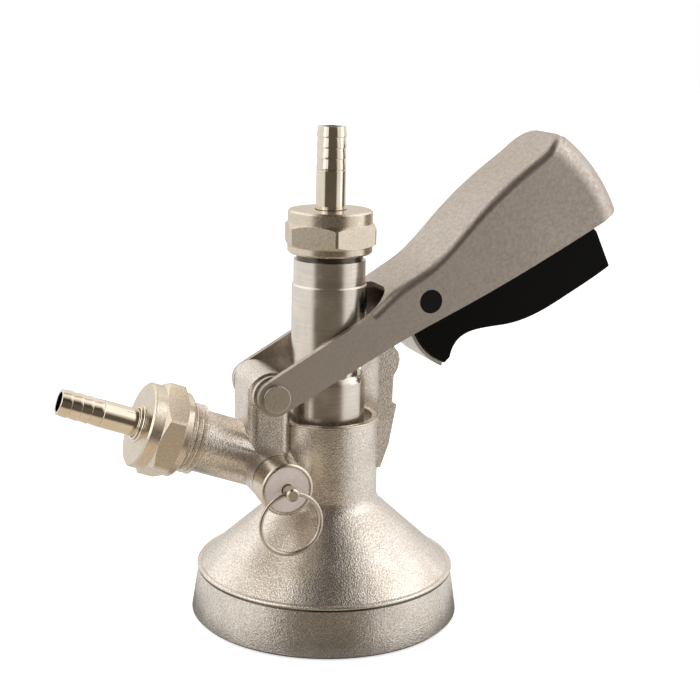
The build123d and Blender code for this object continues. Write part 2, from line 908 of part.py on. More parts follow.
def handle():
    inner_reach = handle_reach - handle_sheet
    outside = head_form(handle_half_width, handle_reach, handle_corner, 0)
    hollow = head_form(arm_inner, inner_reach, handle_corner - handle_sheet, handle_sheet)
    arm_end = ridge_start + arm_overlap
    with BuildPart() as piece:
        with BuildSketch(handle_side):
            with BuildLine():
                CenterArc((0, 0), arm_end_radius, 90, 180)
                Polyline(
                    (0, arm_end_radius),
                    (arm_end, arm_half_height + arm_taper),
                    (arm_end, arm_taper - arm_half_height),
                    (0, -arm_end_radius),
                )
            make_face()
        extrude(amount=handle_half_width, both=True)
        add(outside)
        add(hollow, mode=Mode.SUBTRACT)
        with BuildSketch(handle_square):
            with BuildLine():
                Polyline(
                    (-3 * arm_half_height, -arm_inner),
                    (notch_end, -arm_inner),
                    (notch_end, arm_inner),
                    (-3 * arm_half_height, arm_inner),
                    close=True,
                )
            make_face()
            fillet(vertices().sort_by(Axis.X)[-2:], notch_corner)
        extrude(amount=2 * handle_tip_rise, both=True, mode=Mode.SUBTRACT)
        with BuildSketch(handle_side):
            Circle(pivot_pin_radius + running_gap)
            with Locations((trigger_pin_distance, 0)):
                Circle(trigger_pin_radius + running_gap)
        extrude(amount=2 * handle_half_width, both=True, mode=Mode.SUBTRACT)
        with BuildSketch(handle_side):
            with Locations(drive_pin_place):
                Circle(drive_pin_radius + running_gap)
        extrude(amount=arm_inner + handle_sheet / 2, both=True, mode=Mode.SUBTRACT)
    return piece.part


def handle_pin():
    """The pivot rivet through ear and arms, with a flat head on each side."""
    with BuildPart() as pin:
        with BuildSketch(Plane.XZ):
            with Locations((pivot_x, pivot_z)):
                Circle(pivot_pin_radius)
        extrude(amount=handle_half_width + pivot_head_height, both=True)
        for side in (-1, 1):
            with BuildSketch(Plane.XZ.offset(side * handle_half_width)):
                with Locations((pivot_x, pivot_z)):
                    Circle(pivot_head_radius)
            extrude(amount=side * pivot_head_height)
    return pin.part


def pivot_washers():
    """Thin washers between the ear and the arms."""
    gap = arm_inner - ear_facing_half_width
    with BuildPart() as washers:
        for side in (-1, 1):
            with BuildSketch(Plane.XZ.offset(side * (ear_facing_half_width + gap / 6))):
                with Locations((pivot_x, pivot_z)):
                    Circle(pivot_washer_radius)
                    Circle(pivot_pin_radius + seat_gap, mode=Mode.SUBTRACT)
            extrude(amount=side * gap * 2 / 3)
    return washers.part


def drive_pins():
    """Studs on the inner faces of the arms that reach into the probe's groove."""
    with BuildPart() as pins:
        for side in (-1, 1):
            with BuildSketch(Plane.XZ.offset(side * (probe_radius - drive_pin_reach))):
                with Locations((0, drive_pin_z)):
                    Circle(drive_pin_radius)
            extrude(amount=side * (arm_inner + handle_sheet / 2 - probe_radius + drive_pin_reach))
    return pins.part


# Trigger: a moulded grip on a pin through the handle's sides, with a steel latch plate on its front

def grip():
    front = latch_bend_radius - latch_sheet - seat_gap
    with BuildPart() as piece:
        with BuildSketch(handle_side):
            with BuildLine():
                bend = CenterArc(latch_bend_centre, front, 180, latch_bend_sweep)
                lip = (bend @ 1) + Vector(*grip_lip)
                heel = (grip_reach - grip_heel_lean, grip_heel_rise - grip_depth)
                run = grip_reach - lip.X
                Polyline(
                    bend @ 0,
                    (latch_bend_centre[0] - front, nose_top + latch_plate_rise),
                    (trigger_pin_distance, grip_hub_radius),
                    (grip_reach - grip_top_back, -grip_top_drop),
                    (grip_reach, -grip_shoulder_drop),
                    heel,
                )
                Spline(
                    heel,
                    (lip.X + grip_belly_share * run, -grip_depth),
                    (lip.X + grip_waist_share * run, grip_waist_rise - grip_depth),
                    (lip.X + grip_front_share * run, grip_front_rise - grip_depth),
                    lip,
                )
                Line(lip, bend @ 1)
            make_face()
        extrude(amount=grip_half_width, both=True)
        with BuildSketch(handle_side):
            with Locations((trigger_pin_distance, 0)):
                Circle(trigger_pin_radius + running_gap)
        extrude(amount=grip_half_width, both=True, mode=Mode.SUBTRACT)
        with BuildSketch(handle_side):
            with Locations((trigger_pin_distance, 0)):
                Circle(grip_hub_radius + sliding_gap)
        extrude(amount=spring_half_width, both=True, mode=Mode.SUBTRACT)
    return piece.part


def latch_plate():
    """Sheet steel over the grip's front, with the nose that stands over the post's tooth."""
    arc_out = latch_bend_radius
    arc_in = latch_bend_radius - latch_sheet
    face = latch_radius + latch_gap
    with BuildPart() as plate:
        with BuildSketch(handle_side):
            with BuildLine():
                outer = CenterArc(latch_bend_centre, arc_out, 180, latch_bend_sweep)
                inner = CenterArc(latch_bend_centre, arc_in, 180, latch_bend_sweep)
                Line(outer @ 1, inner @ 1)
                back = (latch_bend_centre[0] - arc_in, nose_top + latch_plate_rise)
                front = (latch_bend_centre[0] - arc_out, nose_top + latch_plate_rise)
                Polyline(inner @ 0, back, front, outer @ 0)
            make_face()
        extrude(amount=grip_half_width - latch_sheet, both=True)
        with BuildSketch(handle_side):
            with BuildLine():
                nose_edge = Polyline(
                    (sqrt(face**2 - nose_bottom**2), nose_bottom),
                    (latch_bend_centre[0] - arc_out, nose_bottom),
                    (latch_bend_centre[0] - arc_out, nose_top),
                    (sqrt(face**2 - nose_top**2), nose_top),
                )
                RadiusArc(nose_edge @ 1, nose_edge @ 0, -face)
            make_face()
        extrude(amount=latch_half_width, both=True)
    return plate.part


def latch_rivets():
    """Two rivets that hold the latch plate to the grip, one each side of the nose."""
    rivet_y = (latch_half_width + grip_half_width - latch_sheet) / 2
    front = latch_bend_centre[0] - latch_bend_radius
    with BuildPart() as rivets:
        rivet_height = (nose_top + nose_bottom) / 2
        face = Plane(
            origin=handle_side.from_local_coords((front, rivet_height, 0)),
            x_dir=(0, 1, 0),
            z_dir=-handle_side.x_dir,
        )
        with BuildSketch(face):
            with Locations((-rivet_y, 0), (rivet_y, 0)):
                Circle(latch_rivet_radius)
        extrude(amount=latch_sheet / 2)
    return rivets.part


def grip_pin():
    with BuildPart() as pin:
        with BuildSketch(handle_side):
            with Locations((trigger_pin_distance, 0)):
                Circle(trigger_pin_radius)
        extrude(amount=handle_half_width, both=True)
    return pin.part


def trigger_spring():
    """A closely wound torsion spring round the grip's pin, in the slot of the hub."""
    pin_frame = Plane(
        origin=handle_side.from_local_coords((trigger_pin_distance, 0, 0)),
        x_dir=handle_side.x_dir,
        z_dir=(0, -1, 0),
    )
    coil_radius = trigger_pin_radius + sliding_gap + spring_wire
    coils = int((spring_half_width - sliding_gap) / spring_wire)
    start = -spring_wire * (coils - 1)
    with BuildPart() as spring:
        with BuildSketch(half_section(pin_frame)):
            for coil in range(coils):
                with Locations((coil_radius, start + 2 * spring_wire * coil)):
                    Circle(spring_wire * 1.1)
        revolve(axis=frame_axis(pin_frame))
    return spring.part


keep(body_casting(), "body_casting")
keep(body_seal(), "body_seal")
keep(neck_o_ring(o_ring_heights[0]), "neck_o_ring_lower")
keep(neck_o_ring(o_ring_heights[1]), "neck_o_ring_upper")
keep(gas_check_valve(), "gas_check_valve")
keep(tail_washer(gas_frame, gas_nut_start), "gas_tail_washer")
keep(hose_tail(gas_frame, gas_nut_start, gas_tail_radius), "gas_tail")
keep(union_nut(gas_frame, gas_nut_start, gas_hex_turn), "gas_nut")
keep(relief_bonnet(), "relief_bonnet")
keep(relief_disc(), "relief_disc")
keep(relief_spring(), "relief_spring")
keep(relief_stem(), "relief_stem")
keep(relief_seal(), "relief_seal")
keep(pull_ring(), "pull_ring")
keep(probe(), "probe")
keep(probe_tip_seal(), "probe_tip_seal")
keep(ball_seat(), "ball_seat")
keep(beer_check_ball(), "beer_check_ball")
keep(ball_stop_pin(), "ball_stop_pin")
keep(tail_washer(probe_frame, nut_base_height), "beer_tail_washer")
keep(hose_tail(probe_frame, nut_base_height, tail_radius), "beer_tail")
keep(union_nut(probe_frame, nut_base_height, beer_hex_turn), "beer_nut")
keep(handle(), "handle")
keep(handle_pin(), "handle_pin")
keep(pivot_washers(), "pivot_washers")
keep(drive_pins(), "drive_pins")
keep(grip(), "grip")
keep(grip_pin(), "grip_pin")
keep(latch_plate(), "latch_plate")
keep(latch_rivets(), "latch_rivets")
keep(trigger_spring(), "trigger_spring")
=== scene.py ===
import json
from math import cos, pi, radians, sin

import bpy
from mathutils import Matrix, Vector


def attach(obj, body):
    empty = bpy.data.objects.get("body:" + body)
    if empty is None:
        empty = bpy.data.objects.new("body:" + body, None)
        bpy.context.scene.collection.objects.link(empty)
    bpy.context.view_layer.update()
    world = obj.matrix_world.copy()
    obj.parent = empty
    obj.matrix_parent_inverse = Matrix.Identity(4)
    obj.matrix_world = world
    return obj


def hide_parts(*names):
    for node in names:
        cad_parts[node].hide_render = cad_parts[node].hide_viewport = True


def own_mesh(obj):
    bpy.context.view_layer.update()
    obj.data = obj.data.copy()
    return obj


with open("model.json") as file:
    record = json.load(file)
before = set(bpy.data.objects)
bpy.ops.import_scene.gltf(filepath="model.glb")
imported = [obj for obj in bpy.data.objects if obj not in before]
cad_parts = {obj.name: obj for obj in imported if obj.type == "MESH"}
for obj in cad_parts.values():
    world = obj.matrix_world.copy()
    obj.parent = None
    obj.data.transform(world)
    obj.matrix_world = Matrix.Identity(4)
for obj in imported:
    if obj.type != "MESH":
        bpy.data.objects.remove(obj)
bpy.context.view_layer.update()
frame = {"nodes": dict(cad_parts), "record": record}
bpy.ops.object.select_all(action="DESELECT")

nodes = frame["nodes"]
slot_of = {part["node"]: part["material_slot"] for part in frame["record"]["subparts"]}
MM = 0.001

# The numbers below are millimetres and degrees, unless a comment says otherwise. MM
# turns millimetres into the metres that Blender works in.

# Copies of the CAD's pieces: loose triangles are merged and sharp edges rounded
merge_distance = 0.000002       # metres
flat_angle = 0.4                # faces that lean less than this become one face
edge_angle = 32.0               # edges sharper than this are rounded
smooth_angle = 30.0
flat_face_weight = 90           # how far flat faces lead the shading of rounded edges

# The gas line: where it leaves the upright axis, and the way that it points
gas_origin = Vector((0, 0, 44.8)) * MM
gas_lean = radians(20.0)
gas_way = Vector((-cos(gas_lean), 0, sin(gas_lean)))
gas_turn = (
    Matrix.Translation(gas_origin)
    @ gas_way.to_track_quat("Z", "X").to_matrix().to_4x4()
)
upright_origin = Vector((0, 0, 0))
upright_way = Vector((0, 0, 1))

# Union nuts: their six corner edges lie further out than this and are worn this wide
nut_corner = 15.0
nut_wear = 1.1
nut_round = 0.2
nut_smooth_angle = 24.0
corner_edge_along = 0.99        # share of an edge's length that runs along the nut

# The probe's undercut below its nut, painted dark as shade: its lowest and highest
# point, and its floor
probe_groove_shade = (116.35, 118.5)
groove_shade_floor = 9.0

# The pull ring hangs from the stem's eye; the relief spring's copy is smoothed by this
# angle
ring_hang = (-0.022, -0.0304, 0.0504)   # metres
ring_widening = 1.1
spring_smooth_angle = 40.0

# The handle: where it pivots, how it and its end wall lean, and the crown of that wall
handle_place = Vector((-22.0, 0, 75.9)) * MM
handle_lean = 28.8
end_lean = 12.9
handle_length = 125.5
handle_round = 0.3
end_depth = 1.5                 # the end wall's outer face lies in this depth
end_corner = 9.5                # its rounded corners reach this far back
end_crown = 2.5
end_strips = 10
strip_slack = 0.02              # a vertex this near to a cut belongs to it

# Turned beads: a circle of this many sides is spun in this many steps. It starts one
# millimetre across, so that stretching it by a width and a height gives it that size.
bead_sides = 14
bead_steps = 144
bead_radius = 0.5
bead_merge = 0.000005           # metres
bead_over_nut = 0.9             # from the gas nut's face to the outer of its two beads


# Helpers for selecting and copying

def deselect():
    """Leaves edit mode and selects nothing."""
    if bpy.context.object and bpy.context.object.mode != "OBJECT":
        bpy.ops.object.mode_set(mode="OBJECT")
    bpy.ops.object.select_all(action="DESELECT")


def pick(piece):
    """Makes a piece the only selected one, and the active one."""
    deselect()
    piece.select_set(True)
    bpy.context.view_layer.objects.active = piece


def pick_parts(piece, kind, wanted):
    """Selects the vertices or edges that pass a test; leaves the piece in edit mode."""
    pick(piece)
    bpy.ops.object.mode_set(mode="EDIT")
    bpy.ops.mesh.select_mode(type=kind)
    bpy.ops.mesh.select_all(action="DESELECT")
    bpy.ops.object.mode_set(mode="OBJECT")
    for part in piece.data.vertices if kind == "VERT" else piece.data.edges:
        part.select = wanted(part)
    bpy.ops.object.mode_set(mode="EDIT")


def merged_copy(node, name):
    """A copy of a CAD node with its loose triangles merged, ready for rounding."""
    piece = bpy.data.objects.new(name, nodes[node].data.copy())
    bpy.context.collection.objects.link(piece)
    pick(piece)
    bpy.ops.mesh.customdata_custom_splitnormals_clear()
    bpy.ops.object.mode_set(mode="EDIT")
    bpy.ops.mesh.select_all(action="SELECT")
    bpy.ops.mesh.remove_doubles(threshold=merge_distance)
    bpy.ops.mesh.dissolve_limited(angle_limit=radians(flat_angle))
    bpy.ops.object.mode_set(mode="OBJECT")
    return piece


def apply_all(piece):
    """Makes a piece's modifiers part of its mesh."""
    pick(piece)
    for modifier in list(piece.modifiers):
        bpy.ops.object.modifier_apply(modifier=modifier.name)


def settle(piece):
    """Puts a piece's place into its mesh, so that its object sits at the origin."""
    pick(piece)
    bpy.ops.object.transform_apply(location=True, rotation=True, scale=True)


# Helpers for shader nodes

def feed(tree, value, socket):
    """Sets a socket to a plain value, or links another node's output to it."""
    if isinstance(value, bpy.types.NodeSocket):
        tree.links.new(value, socket)
    else:
        socket.default_value = value


def noise(tree, vector, scale, detail, roughness):
    node = tree.nodes.new("ShaderNodeTexNoise")
    feed(tree, vector, node.inputs["Vector"])
    feed(tree, scale, node.inputs["Scale"])
    feed(tree, detail, node.inputs["Detail"])
    feed(tree, roughness, node.inputs["Roughness"])
    return node.outputs["Fac"]


def math_node(tree, operation, *values):
    node = tree.nodes.new("ShaderNodeMath")
    node.operation = operation
    for socket, value in zip(node.inputs, values):
        feed(tree, value, socket)
    return node.outputs[0]


def vector_node(tree, operation, *vectors):
    node = tree.nodes.new("ShaderNodeVectorMath")
    node.operation = operation
    for socket, vector in zip(node.inputs, vectors):
        feed(tree, vector, socket)
    return node


def remap(tree, value, given, wanted):
    """Stretches the given span of a value over the wanted span, and clamps it there."""
    node = tree.nodes.new("ShaderNodeMapRange")
    feed(tree, value, node.inputs["Value"])
    given_labels, wanted_labels = ("From Min", "From Max"), ("To Min", "To Max")
    for labels, ends in ((given_labels, given), (wanted_labels, wanted)):
        for label, end in zip(labels, ends):
            feed(tree, end, node.inputs[label])
    return node.outputs["Result"]


def weighted_sum(tree, *pairs):
    """Adds two values, each times its share."""
    first, second = (
        math_node(tree, "MULTIPLY", value, share) for value, share in pairs
    )
    return math_node(tree, "ADD", first, second)


def mix_colour(tree, factor, first, second):
    """Mixes two colours. Their sockets come after the node's sockets of other kinds."""
    node = tree.nodes.new("ShaderNodeMix")
    node.data_type = "RGBA"
    first_input, second_input, colour_output = 6, 7, 2
    feed(tree, factor, node.inputs["Factor"])
    feed(tree, first, node.inputs[first_input])
    feed(tree, second, node.inputs[second_input])
    return node.outputs[colour_output]


def mix_shader(tree, factor, first, second):
    node = tree.nodes.new("ShaderNodeMixShader")
    values = (factor, first.outputs[0], second.outputs[0])
    for socket, value in zip(node.inputs, values):
        feed(tree, value, socket)
    return node.outputs[0]


# Effects that the materials share

whole_span = (0.0, 1.0)
grain_span = (0.34, 0.66)
patch_span = (0.35, 0.65)
ring_span = (0.3, 0.7)
grain_share, patch_share = 0.75, 0.25
ring_share, smudge_share = 0.4, 0.6
patch_height = 0.6
smudge_scale = 90.0
ring_stretch = (0.02, 0.02, 1.0)        # flattens the noise into rings round Z
bump_distance = 0.0003                  # metres


def new_effect(name, scales):
    """A shader node group with the sockets that every effect here has."""
    group = bpy.data.node_groups.new(name, "ShaderNodeTree")
    colours = [(label, "NodeSocketColor") for label in ("Light", "Dark")]
    number_labels = (*scales, "Rough Low", "Rough High")
    numbers = [(label, "NodeSocketFloat") for label in number_labels]
    results = [("Color", "NodeSocketColor")]
    results += [(label, "NodeSocketFloat") for label in ("Roughness", "Height")]
    for label, kind in [("Vector", "NodeSocketVector"), *colours, *numbers]:
        group.interface.new_socket(label, in_out="INPUT", socket_type=kind)
    for label, kind in results:
        group.interface.new_socket(label, in_out="OUTPUT", socket_type=kind)
    start = group.nodes.new("NodeGroupInput")
    end = group.nodes.new("NodeGroupOutput")
    return group, start.outputs, end.inputs


def finish_effect(group, given, result, shade, roughness, height):
    """Leads an effect's shade, roughness and height to its outputs."""
    colour = mix_colour(group, shade, given["Dark"], given["Light"])
    feed(group, colour, result["Color"])
    feed(group, roughness, result["Roughness"])
    feed(group, height, result["Height"])
    return group


def cast_grain_group():
    """Grain of a sand-cast, blasted and plated skin: pits, specks and soft patches."""
    group, given, result = new_effect("cast_grain", ("Grain Scale", "Patch Scale"))
    place, high_low = given["Vector"], (given["Rough High"], given["Rough Low"])
    grain = noise(group, place, given["Grain Scale"], detail=3.0, roughness=0.6)
    patch = noise(group, place, given["Patch Scale"], detail=3.0, roughness=0.5)
    fine = remap(group, grain, grain_span, whole_span)
    broad = remap(group, patch, patch_span, whole_span)
    shade = weighted_sum(group, (fine, grain_share), (broad, patch_share))
    roughness = remap(group, fine, whole_span, high_low)
    swell = math_node(group, "MULTIPLY", patch, patch_height)
    height = math_node(group, "ADD", grain, swell)
    return finish_effect(group, given, result, shade, roughness, height)


def turned_marks_group():
    """Fine rings that a lathe leaves round a piece, along the vector's Z."""
    group, given, result = new_effect("turned_marks", ("Ring Scale",))
    place, low_high = given["Vector"], (given["Rough Low"], given["Rough High"])
    flattened = vector_node(group, "MULTIPLY", place, ring_stretch).outputs[0]
    rings = noise(group, flattened, given["Ring Scale"], detail=2.0, roughness=0.7)
    smudge = noise(group, place, smudge_scale, detail=3.0, roughness=0.5)
    fine = remap(group, rings, ring_span, whole_span)
    broad = remap(group, smudge, patch_span, whole_span)
    shade = weighted_sum(group, (fine, ring_share), (broad, smudge_share))
    roughness = remap(group, broad, whole_span, low_high)
    return finish_effect(group, given, result, shade, roughness, rings)


cast_grain = cast_grain_group()
turned_marks = turned_marks_group()


# Materials

def bare_material(name, colour):
    """A material of one colour, with its shader and its place on the object."""
    material = bpy.data.materials.new(name)
    material.use_nodes = True
    material.diffuse_color = (*colour, 1)
    shader = material.node_tree.nodes["Principled BSDF"]
    shader.inputs["Base Color"].default_value = (*colour, 1)
    place = material.node_tree.nodes.new("ShaderNodeTexCoord")
    return material, shader, place.outputs["Object"]


def surface(name, effect, light, dark, metallic, bump, rough, specular=0.5, **scales):
    """A material whose colour, roughness and height come from one of the effects."""
    material, shader, place = bare_material(name, light)
    tree = material.node_tree
    group = tree.nodes.new("ShaderNodeGroup")
    group.node_tree = effect
    values = {
        "Vector": place, "Light": (*light, 1), "Dark": (*dark, 1),
        "Rough Low": rough[0], "Rough High": rough[1],
    }
    for kind, scale in scales.items():
        values[kind.capitalize() + " Scale"] = scale
    for label, value in values.items():
        feed(tree, value, group.inputs[label])
    bump_node = tree.nodes.new("ShaderNodeBump")
    bump_node.inputs["Strength"].default_value = bump
    bump_node.inputs["Distance"].default_value = bump_distance
    feed(tree, group.outputs["Height"], bump_node.inputs["Height"])
    feed(tree, group.outputs["Color"], shader.inputs["Base Color"])
    feed(tree, group.outputs["Roughness"], shader.inputs["Roughness"])
    feed(tree, bump_node.outputs["Normal"], shader.inputs["Normal"])
    shader.inputs["Metallic"].default_value = metallic
    shader.inputs["Specular IOR Level"].default_value = specular
    return material


# One finish for each material slot of the record
finishes = {
    "nickel_casting": surface(
        "grainy nickel casting", cast_grain,
        light=(0.95, 0.89, 0.82), dark=(0.54, 0.475, 0.405),
        metallic=0.93, bump=0.5, rough=(0.14, 0.25), grain=1900.0, patch=110.0,
    ),
    "nickel_brass": surface(
        "bright warm nickel", cast_grain,
        light=(0.76, 0.68, 0.57), dark=(0.66, 0.58, 0.47),
        metallic=1.0, bump=0.05, rough=(0.22, 0.34), grain=1300.0, patch=120.0,
    ),
    "turned_steel": surface(
        "turned steel", turned_marks,
        light=(0.84, 0.79, 0.72), dark=(0.66, 0.60, 0.53),
        metallic=1.0, bump=0.10, rough=(0.20, 0.30), ring=2600.0,
    ),
    "stamped_steel": surface(
        "satin stamped steel", cast_grain,
        light=(0.56, 0.50, 0.45), dark=(0.42, 0.37, 0.33),
        metallic=1.0, bump=0.06, rough=(0.34, 0.48), grain=900.0, patch=45.0,
    ),
    "spring_steel": surface(
        "small steel parts", cast_grain,
        light=(0.74, 0.67, 0.58), dark=(0.54, 0.48, 0.41),
        metallic=1.0, bump=0.08, rough=(0.24, 0.38), grain=1500.0, patch=150.0,
    ),
    "latch_steel": surface(
        "bright sheet steel", cast_grain,
        light=(0.70, 0.68, 0.65), dark=(0.50, 0.48, 0.46),
        metallic=1.0, bump=0.06, rough=(0.14, 0.26), grain=1200.0, patch=110.0,
    ),
    "dark_pin": surface(
        "blackened pin", cast_grain,
        light=(0.007, 0.007, 0.007), dark=(0.003, 0.003, 0.003),
        metallic=0.0, bump=0.15, rough=(0.45, 0.62), specular=0.15,
        grain=1300.0, patch=150.0,
    ),
    "black_plastic": surface(
        "black moulded plastic", cast_grain,
        light=(0.004, 0.004, 0.0035), dark=(0.002, 0.002, 0.002),
        metallic=0.0, bump=0.10, rough=(0.26, 0.38), specular=0.09,
        grain=1400.0, patch=60.0,
    ),
    "black_rubber": surface(
        "black rubber", cast_grain,
        light=(0.030, 0.030, 0.030), dark=(0.015, 0.015, 0.015),
        metallic=0.0, bump=0.2, rough=(0.6, 0.75), grain=900.0, patch=90.0,
    ),
    "seat_plastic": surface(
        "pale seat plastic", cast_grain,
        light=(0.82, 0.80, 0.75), dark=(0.72, 0.70, 0.65),
        metallic=0.0, bump=0.06, rough=(0.45, 0.55), grain=700.0, patch=90.0,
    ),
    "ball_plastic": surface(
        "pale ball plastic", cast_grain,
        light=(0.86, 0.84, 0.80), dark=(0.78, 0.76, 0.72),
        metallic=0.0, bump=0.03, rough=(0.22, 0.32), grain=500.0, patch=90.0,
    ),
    "relief_disc": surface(
        "bare relief disc", cast_grain,
        light=(0.95, 0.85, 0.80), dark=(0.85, 0.74, 0.69),
        metallic=0.0, bump=0.08, rough=(0.5, 0.65), grain=1300.0, patch=180.0,
    ),
}

# Finishes that only part of a slot's metal has. The dark one is painted shade, for
# grooves and the lines under beads.
polished_tail = surface(
    "polished hose tail", turned_marks,
    light=(0.84, 0.77, 0.66), dark=(0.72, 0.65, 0.54),
    metallic=1.0, bump=0.05, rough=(0.05, 0.10), ring=2200.0,
)
# Painted shade: a dark metal colour that stands in for the shade falling in grooves and
# under beads
painted_groove_shade = surface(
    "painted shade in a groove", turned_marks,
    light=(0.16, 0.14, 0.12), dark=(0.10, 0.09, 0.08),
    metallic=1.0, bump=0.05, rough=(0.20, 0.30), ring=2200.0,
)


def finish_nodes():
    """Gives every CAD node the finish of its slot, those that copies replace too."""
    for name, node in nodes.items():
        for slot in node.material_slots:
            slot.material = finishes[slot_of[name]]


finish_nodes()


# Softened pieces: copies of the pieces that show, with their sharp edges rounded off

def dress(piece, node, body, finish=None):
    """Gives a copy its finish and ties it to the body that carries the real piece."""
    piece.data.materials.clear()
    piece.data.materials.append(finish or finishes[slot_of[node]])
    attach(piece, body)
    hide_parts(node)


def bevel_edges(piece, width, segments=2):
    bevel = piece.modifiers.new("edge_round", "BEVEL")
    bevel.width = width * MM
    bevel.segments = segments
    bevel.limit_method = "ANGLE"
    bevel.angle_limit = radians(edge_angle)
    bevel.use_clamp_overlap = True
    apply_all(piece)


def smooth_faces(piece, angle=smooth_angle):
    pick(piece)
    bpy.ops.object.shade_smooth_by_angle(angle=radians(angle))
    weigh = piece.modifiers.new("flat_faces_lead", "WEIGHTED_NORMAL")
    weigh.keep_sharp = True
    weigh.weight = flat_face_weight
    apply_all(piece)


def softened(node, body, width, segments=2, finish=None):
    """A dressed copy of a CAD node whose sharp edges are rounded by a width."""
    piece = merged_copy(node, node + "_softened")
    bevel_edges(piece, width, segments)
    smooth_faces(piece)
    dress(piece, node, body, finish)
    return piece


def probe_with_groove_shade():
    """The turned probe, with painted shade on the groove under its union nut."""
    piece = softened("probe", "probe", width=0.2)
    piece.data.materials.append(painted_groove_shade)
    low, high = (height * MM for height in probe_groove_shade)
    # Faces in the groove get the dark metal that paints the shade there
    for face in piece.data.polygons:
        out = face.center.xy.length
        if low < face.center.z < high and out > groove_shade_floor * MM:
            face.material_index = 1


def worn_nut(node, body, origin, axis):
    """A union nut whose six corners are worn to narrow flats before it is rounded."""
    piece = merged_copy(node, node + "_softened")
    places = [vertex.co - origin for vertex in piece.data.vertices]

    def is_corner(edge):
        ends = [places[index] for index in edge.vertices]
        far = min((end - axis * end.dot(axis)).length for end in ends)
        along = abs((ends[1] - ends[0]).normalized().dot(axis))
        return far > nut_corner * MM and along > corner_edge_along

    pick_parts(piece, "EDGE", is_corner)
    bpy.ops.mesh.bevel(offset=nut_wear * MM, segments=1)
    bpy.ops.object.mode_set(mode="OBJECT")
    bevel_edges(piece, nut_round)
    smooth_faces(piece, nut_smooth_angle)
    dress(piece, node, body)


def wide_ring():
    """The ring hangs from the stem's eye, so it is widened about that place."""
    piece = merged_copy("pull_ring", "pull_ring_softened")
    bpy.ops.object.mode_set(mode="EDIT")
    bpy.ops.mesh.select_all(action="SELECT")
    bpy.ops.transform.resize(
        value=(ring_widening, 1.0, ring_widening), center_override=ring_hang,
    )
    bpy.ops.object.mode_set(mode="OBJECT")
    bpy.ops.object.shade_smooth()
    dress(piece, "pull_ring", "pull_ring")


def squeezed_spring():
    """A smoothed copy of the relief spring, given a mesh of its own. It is not
    shortened.
    """
    piece = merged_copy("relief_spring", "relief_spring_squeezed")
    bpy.ops.object.shade_smooth_by_angle(angle=radians(spring_smooth_angle))
    dress(piece, "relief_spring", "body")
    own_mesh(piece)


softened("body_casting", "body", width=0.35)
softened("grip", "trigger", width=0.8, segments=3)
softened("latch_plate", "trigger", width=0.2)
probe_with_groove_shade()
worn_nut("beer_nut", "probe", upright_origin, upright_way)
worn_nut("gas_nut", "body", gas_origin, gas_way)
softened("beer_tail", "probe", width=0.08, segments=1, finish=polished_tail)
softened("gas_tail", "body", width=0.08, segments=1, finish=polished_tail)
softened("relief_bonnet", "body", width=0.25)
softened("relief_stem", "relief_stem", width=0.2)
softened("handle_pin", "handle", width=0.35)
softened("grip_pin", "handle", width=0.3)
wide_ring()
squeezed_spring()


# Turned beads: thin rings on the bell's shoulder, the neck's mouth and the gas tail.
# The dark ring under each lip is painted shade.

def turned_lip(name, slot, radius, height, wide, tall, finish=None, turn=None):
    """A bead round the upright axis: a small oval, spun round, then turned if asked."""
    centre = (radius * MM, 0, height * MM)
    bpy.ops.mesh.primitive_circle_add(
        vertices=bead_sides, radius=bead_radius * MM,
        location=centre, rotation=(radians(90), 0, 0),
    )
    piece = bpy.context.object
    piece.name = name
    settle(piece)
    bpy.ops.object.mode_set(mode="EDIT")
    bpy.ops.mesh.select_all(action="SELECT")
    bpy.ops.transform.resize(value=(wide, 1.0, tall), center_override=centre)
    bpy.ops.mesh.spin(steps=bead_steps, angle=2 * pi, center=(0, 0, 0), axis=(0, 0, 1))
    bpy.ops.mesh.select_all(action="SELECT")
    bpy.ops.mesh.remove_doubles(threshold=bead_merge)
    bpy.ops.mesh.normals_make_consistent(inside=False)
    bpy.ops.object.mode_set(mode="OBJECT")
    bpy.ops.object.shade_smooth()
    if turn is not None:
        piece.matrix_world = turn
        settle(piece)
    piece.data.materials.append(finish or finishes[slot])
    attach(piece, "body")


turned_lip(
    "bell_shoulder_lip", "nickel_casting", radius=40.8, height=15.7,
    wide=2.0, tall=1.5,
)
# A dark ring under the shoulder's lip: painted shade along the line below it
turned_lip(
    "bell_shoulder_shade_line", "nickel_casting", radius=41.2, height=14.85,
    wide=0.8, tall=0.6, finish=painted_groove_shade,
)
turned_lip(
    "neck_mouth_lip", "nickel_casting", radius=15.95, height=65.2,
    wide=1.4, tall=1.0, finish=finishes["nickel_brass"],
)
# A dark ring under the mouth's lip: painted shade along the line below it
turned_lip(
    "neck_mouth_shade_line", "nickel_casting", radius=16.05, height=64.25,
    wide=0.7, tall=0.7, finish=painted_groove_shade,
)
nut_places = [vertex.co - gas_origin for vertex in nodes["gas_nut"].data.vertices]
nut_face = max(place.dot(gas_way) for place in nut_places) / MM
turned_lip(
    "gas_tail_collar", "nickel_brass", radius=5.3, height=nut_face,
    wide=1.5, tall=1.0, finish=polished_tail, turn=gas_turn,
)
turned_lip(
    "gas_tail_bead", "nickel_brass", radius=5.0, height=nut_face + bead_over_nut,
    wide=0.9, tall=0.8, finish=polished_tail, turn=gas_turn,
)


# Handle: its end wall is crowned, so strips are cut across it and pushed out in a bow

